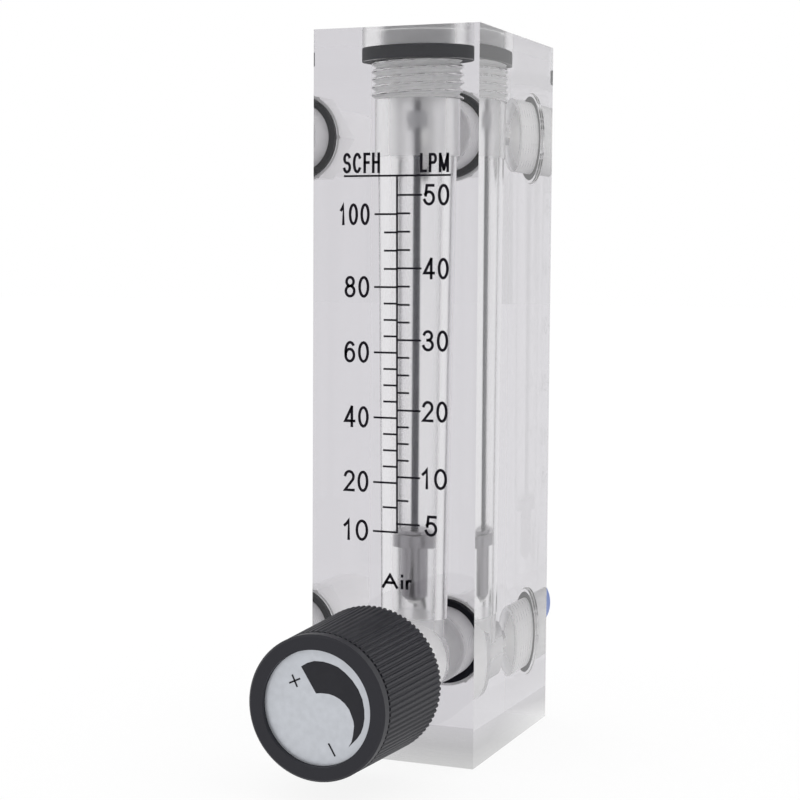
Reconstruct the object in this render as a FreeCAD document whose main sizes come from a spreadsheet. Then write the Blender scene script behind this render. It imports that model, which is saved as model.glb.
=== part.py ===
import FreeCAD, Part
import os
import re
import sys

import Sketcher

# Variable-area flow meter: a clear block with a tapered tube, a float on a guide rod, a needle valve with a
# knob in front and two push-in tube fittings behind. The origin is the middle of the block's bottom face. X
# points to the right, Y to the back and Z up.

doc = FreeCAD.newDocument("Rotameter")
sheet = doc.addObject("Spreadsheet::Sheet", "Sizes")

SIZES = [
    # Block and tube
    ("block_width", 30.0, "block, side to side"),
    ("block_depth", 40.0, "block, front to back"),
    ("block_height", 125.0, "block, bottom to top"),
    ("tube_set_back", 16.0, "tube axis behind the front face"),
    ("tube_floor", 18.0, "lower end of the tube, in the valve room"),
    ("taper_start", 23.3, "height where the taper starts"),
    ("tube_low_bore", 12.1, "tube diameter at its lower end"),
    ("tube_high_bore", 14.2, "tube diameter at its upper end"),
    ("tube_inlet", 11.2, "hole from the valve room up to the tube"),
    ("taper_end_drop", 21.2, "taper's upper end below the block's top"),
    ("chamber_bore", 15.3, "upper chamber diameter"),
    ("cut_margin", 1.0, "how far a cut starts outside the block"),
    # Top plug
    ("plug_head", 19.6, "plug head diameter"),
    ("plug_head_depth", 2.5, "plug head thickness"),
    ("plug_thread", 16.66, "plug thread diameter"),
    ("plug_length", 11.4, "plug, top face to lower end"),
    ("plug_chamfer", 0.8, "lead-in at the plug's lower end"),
    ("plug_slot", 2.0, "screwdriver slot width"),
    ("plug_slot_depth", 1.3, "screwdriver slot depth"),
    ("plug_ring_bore", 15.2, "plug seal inner diameter"),
    ("plug_ring_outside", 20.0, "plug seal outer diameter"),
    ("plug_ring_height", 2.4, "plug seal, squeezed height"),
    ("rod_socket", 5.0, "how far the guide rod goes into the plug"),
    # Guide rod, stops and float
    ("rod_diameter", 2.0, "guide rod"),
    ("rod_end", 25.4, "height of the rod's lower end"),
    ("end_stop_diameter", 3.7, "collar on the rod's end"),
    ("end_stop_height", 0.65, "collar height"),
    ("top_stop_diameter", 5.6, "sleeve under the plug"),
    ("top_stop_gap", 1.9, "sleeve below the plug"),
    ("top_stop_height", 2.9, "sleeve height"),
    ("stop_bevel", 0.2, "bevel of the collar and the sleeve"),
    ("float_gap", 0.05, "float above its stop at rest"),
    ("float_height", 12.4, "float, tip to top"),
    ("float_tip", 4.8, "float tip diameter"),
    ("float_tip_height", 0.75, "bevel above the tip"),
    ("float_stem", 7.3, "float body diameter"),
    ("float_flange", 11.8, "float flange diameter"),
    ("float_flange_low", 9.8, "flange lower face above the tip"),
    ("float_flange_height", 2.1, "flange thickness"),
    ("float_crown", 8.5, "float crown diameter at the flange"),
    ("float_crown_top", 8.0, "float crown diameter at the top"),
    # Fits
    ("running_gap", 0.08, "radial gap of a sliding or turning fit"),
    ("seat_gap", 0.05, "radial gap of a threaded or placed fit"),
    ("seal_bevel", 0.42, "corner of a squeezed seal, share of its section"),
    # Valve
    ("valve_height", 16.0, "valve and lower port axis above the base"),
    ("cartridge_thread", 13.9, "cartridge thread diameter"),
    ("cartridge_thread_length", 13.0, "cartridge thread, from the front face"),
    ("wide_room_depth", 15.0, "threaded valve bore, from the front face"),
    ("cartridge_nose", 9.8, "cartridge nose diameter"),
    ("cartridge_length", 23.3, "cartridge nose end behind the front face"),
    ("gasket_height", 1.0, "gasket between block and cartridge flange"),
    ("cartridge_flange", 17.0, "cartridge flange diameter"),
    ("cartridge_flange_height", 1.2, "cartridge flange thickness"),
    ("cartridge_hex", 15.0, "cartridge head across flats"),
    ("cartridge_hex_height", 3.0, "cartridge head thickness"),
    ("pilot_bore", 5.0, "hole from the cartridge to the lower port"),
    ("stem_thread_depth", 6.0, "inner thread, from the front face"),
    ("stem_bore_end", 13.5, "end of the plain stem bore"),
    ("valve_chamber", 7.0, "chamber round the needle, diameter"),
    ("seat_depth", 20.8, "valve seat behind the front face"),
    ("seat_bore", 4.0, "hole through the valve seat"),
    ("outlet_bore", 4.5, "cross hole that lets gas up into the tube"),
    ("outlet_place", 16.8, "cross hole behind the front face"),
    ("spindle", 6.0, "valve spindle diameter"),
    ("stem_thread", 8.0, "valve thread diameter"),
    ("stem_thread_length", 8.2, "valve thread length on the stem"),
    ("spindle_flat", 5.2, "spindle across its flat"),
    ("spindle_flat_length", 14.5, "flat length"),
    ("stem_outside", 24.1, "stem end in front of the block"),
    ("shoulder_place", 12.0, "spindle end behind the front face"),
    ("needle_shank", 5.0, "shank diameter behind the needle"),
    ("needle_length", 7.0, "needle cone length"),
    ("needle_tip", 2.4, "needle point diameter"),
    ("needle_reach", 1.95, "needle point past the seat at rest"),
    ("stem_ring_groove", 4.0, "stem seal groove diameter"),
    ("stem_ring_width", 1.8, "stem seal groove width"),
    ("stem_ring_place", 9.5, "stem seal centre behind the front face"),
    ("thread_pitch", 0.75, "stem travel in one turn"),
    ("turns_to_shut", 3.0, "turns from rest to shut"),
    # Knob
    ("knob_diameter", 23.5, "knob over the front end of its ribs"),
    ("knob_back", 24.9, "knob over the back end of its ribs"),
    ("knob_front", 31.2, "knob face in front of the block"),
    ("knob_length", 22.4, "knob, face to back edge"),
    ("knob_lip", 23.4, "smooth lip diameter"),
    ("knob_lip_length", 2.0, "smooth lip length"),
    ("knob_bevel", 0.35, "bevel of the lip"),
    ("knob_neck", 22.8, "line between lip and ribs, diameter"),
    ("knob_neck_length", 0.5, "line between lip and ribs, width"),
    ("knob_wall", 1.9, "knob wall thickness"),
    ("knob_web", 8.0, "face to the hollow behind it"),
    ("knob_boss", 10.0, "knob boss diameter"),
    ("knob_boss_set_back", 2.0, "boss end inside the knob's back edge"),
    ("knob_rib_count", 80.0, "ribs round the knob"),
    ("knob_rib_depth", 0.25, "rib depth"),
    ("knob_groove", 0.2, "groove between ribs, width at its bottom"),
    ("knob_groove_mouth", 0.6, "groove between ribs, width at its mouth"),
    ("knob_stay_count", 6.0, "stays inside the knob"),
    ("knob_stay", 1.0, "stay thickness"),
    ("knob_stay_length", 9.0, "stay length along the knob"),
    ("disc_diameter", 18.5, "silver disc"),
    ("disc_thickness", 0.6, "silver disc thickness"),
    ("disc_depth", 0.9, "disc face behind the knob's face"),
    ("screw_head", 5.5, "knob screw head diameter"),
    ("screw_head_height", 1.8, "knob screw head height"),
    ("screw_thread", 3.0, "knob screw diameter"),
    ("screw_length", 8.0, "knob screw under its head"),
    ("screw_recess", 6.4, "recess for the screw head"),
    ("screw_recess_depth", 2.5, "recess depth under the disc"),
    ("screw_slot", 0.8, "screw slot width"),
    # Ports and push-in fittings
    ("upper_port_drop", 16.5, "upper port axis below the block's top"),
    ("port_ring_recess", 16.4, "counterbore diameter round a port"),
    ("port_ring_depth", 1.0, "counterbore depth"),
    ("port_ring_bore", 12.6, "port seal inner diameter"),
    ("port_ring_outside", 15.7, "port seal outer diameter"),
    ("port_thread", 13.16, "port thread diameter"),
    ("port_depth", 11.0, "port thread depth in the block"),
    ("port_drill", 11.4, "tapping drill diameter"),
    ("port_drill_tip", 2.2, "cone at the end of the port"),
    ("upper_passage", 4.0, "hole from the upper port to the chamber"),
    ("fitting_thread_length", 10.5, "fitting thread, to the block's back face"),
    ("fitting_lead", 0.8, "lead-in at the fitting's inner end"),
    ("fitting_flange", 16.8, "fitting flange diameter"),
    ("fitting_flange_height", 1.2, "fitting flange thickness"),
    ("fitting_hex", 15.0, "fitting head across flats"),
    ("fitting_head", 6.5, "fitting head, from the block to its end"),
    ("fitting_barrel", 13.0, "fitting barrel diameter"),
    ("fitting_length", 26.5, "fitting behind the block"),
    ("fitting_bevel", 0.8, "bevel at the fitting's mouth"),
    ("fitting_mouth", 8.0, "inner end countersink diameter"),
    ("fitting_mouth_depth", 1.9, "countersink depth"),
    ("fitting_bore", 5.2, "fitting flow bore"),
    ("tube_stop", 10.0, "tube shoulder behind the block"),
    ("tube_diameter", 6.35, "tube that the fitting takes"),
    ("tube_gap", 0.075, "radial gap round the tube"),
    ("gland_low", 17.0, "tube seal groove, inner end"),
    ("gland_length", 2.0, "tube seal groove length"),
    ("gland_bore", 9.4, "tube seal groove diameter"),
    ("collet_room", 9.8, "room for the collet's legs"),
    ("collet_room_end", 24.5, "where the room starts to narrow"),
    ("collet_throat", 9.1, "fitting mouth diameter"),
    ("collet_low", 20.0, "inner end of the collet"),
    ("collet_leg", 8.7, "collet outer diameter"),
    ("collet_barb", 9.4, "barb diameter at the collet's end"),
    ("collet_barb_length", 1.2, "barb length"),
    ("collet_flange", 10.2, "collet flange diameter"),
    ("collet_flange_height", 1.5, "collet flange thickness"),
    ("collet_slit", 0.8, "slit between collet legs"),
    ("collet_slit_length", 6.0, "slit length"),
    ("collet_slit_count", 4.0, "slits round the collet"),
    ("clip_diameter", 13.0, "locking clip outer diameter"),
    ("clip_thickness", 2.8, "locking clip thickness"),
    ("clip_gap", 0.1, "gap each side of the clip"),
    ("clip_opening", 7.6, "clip opening"),
]

ALIASES = {alias for alias, size, note in SIZES}

for row, (alias, size, note) in enumerate(SIZES, 1):
    sheet.set(f"A{row}", note)
    sheet.set(f"B{row}", str(size))
    sheet.setAlias(f"B{row}", alias)
doc.recompute()


# Expressions are written with the sheet's names alone, and derived places have names here.

def cells(text):
    """The expression with each size named as a cell of the sheet."""
    return re.sub(r"[a-z]+(?:_[a-z]+)*", lambda m: f"Sizes.{m[0]}" if m[0] in ALIASES else m[0], text)


def value(text):
    """The number that an expression gives."""
    return float(sheet.evalExpression(cells(text)))


FRONT = "(0 - block_depth / 2)"
BACK = "(block_depth / 2)"
TUBE_PLACE = "(tube_set_back - block_depth / 2)"
PLUG_SEAL_LOW = "(block_height - plug_head_depth - plug_ring_height)"
PLUG_END = "(block_height - plug_length)"
ROD_TOP = f"({PLUG_END} + rod_socket)"
TAPER_END = "(block_height - taper_end_drop)"
TOP_STOP_LOW = f"({PLUG_END} - top_stop_gap - top_stop_height)"
UPPER_PORT_HEIGHT = "(block_height - upper_port_drop)"
FLOAT_REST = "(rod_end + end_stop_height + float_gap)"
STEM_THREAD_END = "(stem_thread_depth - turns_to_shut * thread_pitch - seat_gap)"
NEEDLE_POINT = "(seat_depth + needle_reach)"
DISC_FLOOR = "(disc_depth + disc_thickness)"
SCREW_SEAT = "(disc_depth + disc_thickness + screw_recess_depth)"
BOSS_END = "(knob_length - knob_boss_set_back)"
STEM_IN_KNOB = "(knob_front - stem_outside)"
TUBE_BORE = "(tube_diameter / 2 + tube_gap)"
CLIP_LOW = "(fitting_length + clip_gap)"
COLLET_FLANGE_LOW = "(fitting_length + clip_thickness + 2 * clip_gap)"


# Shared construction steps

def new_body(label):
    body = doc.addObject("PartDesign::Body", label)
    body.Label = label
    return body


def place(body, x="0", y="0", z="0", turn=None):
    """Put a body in the meter's frame. A turn is an axis and an angle in degrees."""
    if turn:
        body.Placement = FreeCAD.Placement(FreeCAD.Vector(), turn)
    for name, text in zip("xyz", (x, y, z)):
        body.setExpression(f"Placement.Base.{name}", cells(text))


def new_sketch(body, name, plane, lift=None, height="0"):
    """A sketch on one of the body's own planes. Lift moves it out along the plane's normal."""
    sketch = body.newObject("Sketcher::SketchObject", f"{body.Label}_{name}")
    face = next(f for f in body.Origin.OriginFeatures if f.Role == plane)
    sketch.AttachmentSupport = [(face, "")]
    sketch.MapMode = "FlatFace"
    if lift:
        sketch.setExpression("AttachmentOffset.Base.z", cells(lift))
    sketch.setExpression("AttachmentOffset.Base.y", cells(height))
    return sketch


def bind(sketch, kind, geometry, point, text):
    """Hold one coordinate of a point at an expression of the sheet."""
    index = sketch.addConstraint(Sketcher.Constraint(kind, -1, 1, geometry, point, value(text)))
    sketch.setExpression(f"Constraints[{index}]", cells(text))


def draw_outline(sketch, corners):
    """A closed outline of straight lines with every corner held by the sheet."""
    places = [FreeCAD.Vector(value(across), value(along), 0) for across, along in corners]
    lines = [Part.LineSegment(a, b) for a, b in zip(places, places[1:] + places[:1])]
    first = sketch.addGeometry(lines, False)[0]
    count = len(lines)
    for i in range(count):
        sketch.addConstraint(Sketcher.Constraint("Coincident", first + i, 2, first + (i + 1) % count, 1))
    for i, (across, along) in enumerate(corners):
        bind(sketch, "DistanceX", first + i, 1, across)
        bind(sketch, "DistanceY", first + i, 1, along)


def draw_bar(sketch, half_length, half_width):
    """A bar across the sketch's centre, the tool of a screwdriver slot."""
    left = f"0 - {half_length}"
    below = f"0 - {half_width}"
    draw_outline(sketch, [(left, below), (half_length, below), (half_length, half_width), (left, half_width)])


def draw_circle(sketch, radius):
    circle = sketch.addGeometry(Part.Circle(FreeCAD.Vector(), FreeCAD.Vector(0, 0, 1), value(radius)), False)
    sketch.addConstraint(Sketcher.Constraint("Coincident", circle, 3, -1, 1))
    index = sketch.addConstraint(Sketcher.Constraint("Radius", circle, value(radius)))
    sketch.setExpression(f"Constraints[{index}]", cells(radius))


def draw_hexagon(sketch, across_flats):
    far = f"{across_flats} / sqrt(3)"
    near = f"{across_flats} / (2 * sqrt(3))"
    half = f"{across_flats} / 2"
    corners = [(far, "0"), (near, half), (f"0 - {near}", half), (f"0 - {far}", "0"),
               (f"0 - {near}", f"0 - {half}"), (near, f"0 - {half}")]
    draw_outline(sketch, corners)


def turn_solid(body, corners, name="profile"):
    """Turn an outline of (radius, height) corners about the body's own Z axis."""
    sketch = new_sketch(body, name, "XZ_Plane")
    draw_outline(sketch, corners)
    turned = body.newObject("PartDesign::Revolution", f"{body.Label}_{name}_turned")
    turned.Profile = sketch
    turned.ReferenceAxis = (sketch, ["V_Axis"])
    turned.Angle = 360
    doc.recompute()
    return turned


def cut_check(body, before, feature):
    doc.recompute()
    if not body.Shape.Volume < before - 1e-3:
        sys.exit(f"{feature.Name} cut nothing")


def turn_cut(body, corners, name, plane="XZ_Plane", axis="V_Axis", lift=None, height="0"):
    """Cut an outline of corners turned about an axis of its sketch."""
    before = body.Shape.Volume
    sketch = new_sketch(body, name, plane, lift, height)
    draw_outline(sketch, corners)
    groove = body.newObject("PartDesign::Groove", f"{body.Label}_{name}_cut")
    groove.Profile = sketch
    groove.ReferenceAxis = (sketch, [axis])
    groove.Angle = 360
    cut_check(body, before, groove)
    return groove


def pad(body, sketch, length, reverse=False):
    feature = body.newObject("PartDesign::Pad", f"{sketch.Name}_pad")
    feature.Profile = sketch
    feature.setExpression("Length", cells(length))
    feature.Reversed = reverse
    doc.recompute()
    return feature


def pocket(body, sketch, length, reverse=False):
    """Cut a sketch towards the solid. A pocket cuts against its sketch's normal unless reversed."""
    before = body.Shape.Volume
    feature = body.newObject("PartDesign::Pocket", f"{sketch.Name}_cut")
    feature.Profile = sketch
    feature.setExpression("Length", cells(length))
    feature.Reversed = reverse
    cut_check(body, before, feature)
    return feature


def round_pattern(body, feature, count):
    """Repeat a feature round the body's Z axis."""
    axis = next(f for f in body.Origin.OriginFeatures if f.Role == "Z_Axis")
    pattern = body.newObject("PartDesign::PolarPattern", f"{feature.Name}_round")
    pattern.Originals = [feature]
    pattern.Axis = (axis, [""])
    pattern.Angle = 360
    pattern.setExpression("Occurrences", cells(count))
    body.Tip = pattern
    doc.recompute()
    return pattern


def eased_section(inner, outer, low, high, bevel):
    """A ring's section as (radius, height) corners, each corner cut back by the bevel."""
    return [
        (f"{inner} + {bevel}", low),
        (f"{outer} - {bevel}", low),
        (outer, f"{low} + {bevel}"),
        (outer, f"{high} - {bevel}"),
        (f"{outer} - {bevel}", high),
        (f"{inner} + {bevel}", high),
        (inner, f"{high} - {bevel}"),
        (inner, f"{low} + {bevel}"),
    ]


def seal_ring(label, inner, outer, height, low="0"):
    """A squeezed rubber ring between a bore and an outside diameter."""
    body = new_body(label)
    bevel = f"seal_bevel * min({height}; ({outer} - {inner}) / 2)"
    turn_solid(body, eased_section(f"{inner} / 2", f"{outer} / 2", low, f"{low} + {height}", bevel))
    return body


INTO_BLOCK = FreeCAD.Rotation(FreeCAD.Vector(1, 0, 0), -90)


# Acrylic block

def tube_cut(body):
    """Tapered tube, upper chamber and the plug's thread and head recess, about the tube's axis."""
    chamber = "chamber_bore / 2"
    thread = "plug_thread / 2 + seat_gap"
    recess = "plug_ring_outside / 2 + seat_gap"
    above = "block_height + cut_margin"
    turn_cut(body, [
        ("0", "tube_floor"),
        ("tube_inlet / 2", "tube_floor"),
        ("tube_inlet / 2", "taper_start"),
        ("tube_low_bore / 2", "taper_start"),
        ("tube_high_bore / 2", TAPER_END),
        (chamber, TAPER_END),
        (chamber, PLUG_END),
        (thread, PLUG_END),
        (thread, PLUG_SEAL_LOW),
        (recess, PLUG_SEAL_LOW),
        (recess, above),
        ("0", above),
    ], "tube", lift=f"0 - {TUBE_PLACE}")


def port_steps(inner_end, passage):
    """Back port corners from the passage out to the back face, as (place along Y, radius)."""
    drill_end = f"{BACK} - port_depth"
    return [
        (inner_end, f"{passage} / 2"),
        (f"{drill_end} - port_drill_tip", f"{passage} / 2"),
        (drill_end, "port_drill / 2"),
        (drill_end, "port_thread / 2 + seat_gap"),
        (f"{BACK} - port_ring_depth", "port_thread / 2 + seat_gap"),
        (f"{BACK} - port_ring_depth", "port_ring_recess / 2"),
        (f"{BACK} + cut_margin", "port_ring_recess / 2"),
        (f"{BACK} + cut_margin", "0"),
    ]


def lower_passage_cut(body):
    """Cartridge bore from the front, pilot hole and lower port, all on the valve's axis."""
    thread = "cartridge_thread / 2 + seat_gap"
    nose = "cartridge_nose / 2 + seat_gap"
    nose_end = f"{FRONT} + cartridge_length"
    turn_cut(body, [
        (f"{FRONT} - cut_margin", "0"),
        (f"{FRONT} - cut_margin", thread),
        (f"{FRONT} + wide_room_depth", thread),
        (f"{FRONT} + wide_room_depth", nose),
        (nose_end, nose),
    ] + port_steps(nose_end, "pilot_bore"), "lower_passage", "YZ_Plane", "H_Axis", height="valve_height")


def upper_port_cut(body):
    start = TUBE_PLACE
    turn_cut(body, [(start, "0")] + port_steps(start, "upper_passage"), "upper_port", "YZ_Plane", "H_Axis",
             height=UPPER_PORT_HEIGHT)


def make_block():
    body = new_body("meter_body")
    sketch = new_sketch(body, "outline", "XY_Plane")
    left = "0 - block_width / 2"
    right = "block_width / 2"
    draw_outline(sketch, [(left, FRONT), (right, FRONT), (right, BACK), (left, BACK)])
    pad(body, sketch, "block_height")
    tube_cut(body)
    lower_passage_cut(body)
    upper_port_cut(body)
    return body


# Top plug, rod, stops and float, all on the tube's axis

def make_plug():
    body = new_body("top_plug")
    low = "0 - plug_length"
    thread_top = "0 - plug_head_depth - plug_ring_height"
    head_low = "0 - plug_head_depth"
    thread = "plug_thread / 2"
    neck = "plug_ring_bore / 2"
    socket = "rod_diameter / 2"
    turn_solid(body, [
        (socket, low),
        (f"{thread} - plug_chamfer", low),
        (thread, f"{low} + plug_chamfer"),
        (thread, thread_top),
        (neck, thread_top),
        (neck, head_low),
        ("plug_head / 2", head_low),
        ("plug_head / 2", "0"),
        ("0", "0"),
        ("0", f"{low} + rod_socket"),
        (socket, f"{low} + rod_socket"),
    ])
    slot = new_sketch(body, "slot", "XY_Plane")
    half = "plug_slot / 2"
    long = "plug_head / 2 + cut_margin"
    draw_bar(slot, long, half)
    pocket(body, slot, "plug_slot_depth")
    place(body, y=TUBE_PLACE, z="block_height")
    return body


def make_rod():
    body = new_body("guide_rod")
    side = "rod_diameter / 2"
    turn_solid(body, [("0", "rod_end"), (side, "rod_end"), (side, ROD_TOP), ("0", ROD_TOP)])
    place(body, y=TUBE_PLACE)
    return body


def rod_sleeve(label, diameter, low, height):
    """A sleeve on the rod with its outer edges eased."""
    body = new_body(label)
    top = f"{low} + {height}"
    inner = "rod_diameter / 2"
    outer = f"{diameter} / 2"
    turn_solid(body, [
        (inner, low),
        (f"{outer} - stop_bevel", low),
        (outer, f"{low} + stop_bevel"),
        (outer, f"{top} - stop_bevel"),
        (f"{outer} - stop_bevel", top),
        (inner, top),
    ])
    place(body, y=TUBE_PLACE)
    return body


def make_float():
    body = new_body("float")
    bore = "rod_diameter / 2 + running_gap"
    flange_top = "float_flange_low + float_flange_height"
    turn_solid(body, [
        (bore, "0"),
        ("float_tip / 2", "0"),
        ("float_stem / 2", "float_tip_height"),
        ("float_stem / 2", "float_flange_low"),
        ("float_flange / 2", "float_flange_low"),
        ("float_flange / 2", flange_top),
        ("float_crown / 2", flange_top),
        ("float_crown_top / 2", "float_height"),
        (bore, "float_height"),
    ])
    place(body, y=TUBE_PLACE, z=FLOAT_REST)
    return body


# Valve: these bodies are drawn from the block's front face inwards

def place_valve(body, set_in="0"):
    place(body, y=f"{FRONT} + {set_in}", z="valve_height", turn=INTO_BLOCK)


def make_cartridge():
    """Valve cartridge: flanged hexagon head, threaded barrel, and a nose with the seat and a cross hole."""
    body = new_body("valve_cartridge")
    flange_back = "0 - gasket_height"
    flange_front = f"{flange_back} - cartridge_flange_height"
    head_front = f"{flange_front} - cartridge_hex_height"
    thread = "cartridge_thread / 2"
    nose = "cartridge_nose / 2"
    head = new_sketch(body, "head", "XY_Plane", lift=flange_front)
    draw_hexagon(head, "cartridge_hex")
    pad(body, head, "cartridge_hex_height", reverse=True)
    turn_solid(body, [
        ("0", flange_front),
        ("cartridge_flange / 2", flange_front),
        ("cartridge_flange / 2", flange_back),
        (thread, flange_back),
        (thread, "cartridge_thread_length"),
        (nose, "cartridge_thread_length"),
        (nose, "cartridge_length"),
        ("0", "cartridge_length"),
    ], "barrel")
    inner_thread = "stem_thread / 2 + running_gap"
    stem_bore = "spindle / 2 + running_gap"
    turn_cut(body, [
        ("0", f"{head_front} - cut_margin"),
        (inner_thread, f"{head_front} - cut_margin"),
        (inner_thread, "stem_thread_depth"),
        (stem_bore, "stem_thread_depth"),
        (stem_bore, "stem_bore_end"),
        ("valve_chamber / 2", "stem_bore_end"),
        ("valve_chamber / 2", "seat_depth"),
        ("seat_bore / 2", "seat_depth"),
        ("seat_bore / 2", "cartridge_length + cut_margin"),
        ("0", "cartridge_length + cut_margin"),
    ], "bore")
    outlet = new_sketch(body, "outlet", "XZ_Plane", height="outlet_place")
    draw_circle(outlet, "outlet_bore / 2")
    cross_hole = pocket(body, outlet, "cartridge_nose + cut_margin")
    cross_hole.SideType = "Symmetric"
    doc.recompute()
    place_valve(body)
    return body


def make_gasket():
    body = new_body("cartridge_gasket")
    inner = "cartridge_thread / 2 + seat_gap"
    outer = "cartridge_flange / 2"
    low = "0 - gasket_height"
    turn_solid(body, [(inner, low), (outer, low), (outer, "0"), (inner, "0")])
    place_valve(body)
    return body


def make_stem():
    """Spindle with a thread, a seal groove, a shank and a needle, drilled for the knob's screw."""
    body = new_body("valve_stem")
    outer_end = "0 - stem_outside"
    hole_end = f"{outer_end} + {SCREW_SEAT} + screw_length - {STEM_IN_KNOB} + cut_margin"
    hole = "screw_thread / 2 + seat_gap"
    thread_start = f"{STEM_THREAD_END} - stem_thread_length"
    groove_low = "stem_ring_place - stem_ring_width / 2"
    groove_high = "stem_ring_place + stem_ring_width / 2"
    turn_solid(body, [
        (hole, outer_end),
        ("spindle / 2", outer_end),
        ("spindle / 2", thread_start),
        ("stem_thread / 2", thread_start),
        ("stem_thread / 2", STEM_THREAD_END),
        ("spindle / 2", STEM_THREAD_END),
        ("spindle / 2", groove_low),
        ("stem_ring_groove / 2", groove_low),
        ("stem_ring_groove / 2", groove_high),
        ("spindle / 2", groove_high),
        ("spindle / 2", "shoulder_place"),
        ("needle_shank / 2", "shoulder_place"),
        ("needle_shank / 2", f"{NEEDLE_POINT} - needle_length"),
        ("needle_tip / 2", NEEDLE_POINT),
        ("0", NEEDLE_POINT),
        ("0", hole_end),
        (hole, hole_end),
    ])
    flat = new_sketch(body, "flat", "XY_Plane", lift=outer_end)
    low = "spindle_flat - spindle / 2"
    wide = "spindle / 2 + cut_margin"
    draw_outline(flat, [(f"0 - {wide}", low), (wide, low), (wide, wide), (f"0 - {wide}", wide)])
    pocket(body, flat, "spindle_flat_length", reverse=True)
    place_valve(body)
    return body


def make_stem_ring():
    inner = "(stem_ring_groove + 2 * running_gap)"
    body = seal_ring("stem_o_ring", inner, "spindle", "(stem_ring_width - 2 * seat_gap)")
    place_valve(body, "stem_ring_place - stem_ring_width / 2 + seat_gap")
    return body


# Knob: drawn from its face inwards

def place_knob_piece(body, set_in="0"):
    place_valve(body, f"{set_in} - knob_front")


def make_knob():
    """Moulded knob: lip, ribs, a hollow back with a boss on stays, and a flat-sided hole for the stem."""
    body = new_body("knob")
    lip = "knob_lip / 2"
    lip_end = "knob_lip_length"
    ribs_start = "knob_lip_length + knob_neck_length"
    ribs_front = "knob_diameter / 2"
    ribs_back = "knob_back / 2"
    wall = "knob_diameter / 2 - knob_rib_depth - knob_wall"
    disc = "disc_diameter / 2 + seat_gap"
    turn_solid(body, [
        (disc, "0"),
        (f"{lip} - knob_bevel", "0"),
        (lip, "knob_bevel"),
        (lip, lip_end),
        ("knob_neck / 2", lip_end),
        ("knob_neck / 2", ribs_start),
        (ribs_front, ribs_start),
        (ribs_back, "knob_length"),
        (wall, "knob_length"),
        (wall, "knob_web"),
        ("knob_boss / 2", "knob_web"),
        ("knob_boss / 2", BOSS_END),
        ("0", BOSS_END),
        ("0", SCREW_SEAT),
        ("screw_recess / 2", SCREW_SEAT),
        ("screw_recess / 2", DISC_FLOOR),
        (disc, DISC_FLOOR),
    ])
    stay = new_sketch(body, "stay", "XY_Plane", lift="knob_web")
    half = "knob_stay / 2"
    inner = "knob_boss / 2 - knob_stay"
    outer = f"{wall} + knob_wall / 2"
    draw_outline(stay, [(inner, f"0 - {half}"), (outer, f"0 - {half}"), (outer, half), (inner, half)])
    round_pattern(body, pad(body, stay, "knob_stay_length"), "knob_stay_count")
    hole = new_sketch(body, "screw_hole", "XY_Plane", lift=SCREW_SEAT)
    draw_circle(hole, "screw_thread / 2 + seat_gap")
    pocket(body, hole, "knob_length", reverse=True)
    make_stem_hole(body)
    cut_grooves(body, (ribs_start, ribs_front), ("knob_length", ribs_back))
    place_knob_piece(body)
    return body


def cut_grooves(body, front, back):
    """Grooves between the ribs. Each one runs from a front (depth, radius) out to a wider back one."""
    sketches = []
    for name, (depth, radius) in (("groove_front", front), ("groove_back", back)):
        sketch = new_sketch(body, name, "XY_Plane", lift=depth)
        bottom = f"{radius} - knob_rib_depth"
        mouth = f"{radius} + knob_rib_depth"
        narrow = "(knob_groove / 2)"
        broad = "(knob_groove_mouth - knob_groove / 2)"
        left = [(bottom, f"0 - {narrow}"), (mouth, f"0 - {broad}")]
        right = [(mouth, broad), (bottom, narrow)]
        draw_outline(sketch, left + right)
        sketches.append(sketch)
    before = body.Shape.Volume
    groove = body.newObject("PartDesign::SubtractiveLoft", "knob_groove_cut")
    groove.Profile = sketches[0]
    groove.Sections = [sketches[1]]
    groove.Ruled = True
    cut_check(body, before, groove)
    round_pattern(body, groove, "knob_rib_count")


def make_stem_hole(body):
    """The boss is bored from the back for the spindle, all but the part beside the spindle's flat."""
    bore = new_sketch(body, "stem_hole", "XY_Plane", lift=STEM_IN_KNOB)
    radius = value("spindle / 2 + seat_gap")
    flat = value("spindle_flat - spindle / 2 + seat_gap")
    half = (radius ** 2 - flat ** 2) ** 0.5
    right = FreeCAD.Vector(half, flat, 0)
    left = FreeCAD.Vector(-half, flat, 0)
    chord = bore.addGeometry(Part.LineSegment(left, right), False)
    arc = bore.addGeometry(Part.Arc(right, FreeCAD.Vector(0, -radius, 0), left), False)
    bore.addConstraint(Sketcher.Constraint("Coincident", arc, 3, -1, 1))
    bore.addConstraint(Sketcher.Constraint("Horizontal", chord))
    for line_end, corner in ((1, left), (2, right)):
        arc_end = 1 if bore.getPoint(arc, 1).isEqual(corner, 1e-6) else 2
        bore.addConstraint(Sketcher.Constraint("Coincident", chord, line_end, arc, arc_end))
    index = bore.addConstraint(Sketcher.Constraint("Radius", arc, radius))
    bore.setExpression(f"Constraints[{index}]", cells("spindle / 2 + seat_gap"))
    bind(bore, "DistanceY", chord, 1, "spindle_flat - spindle / 2 + seat_gap")
    pocket(body, bore, "knob_length", reverse=True)


def make_disc():
    body = new_body("knob_disc")
    radius = "disc_diameter / 2"
    turn_solid(body, [("0", "0"), (radius, "0"), (radius, "disc_thickness"), ("0", "disc_thickness")])
    place_knob_piece(body, "disc_depth")
    return body


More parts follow.
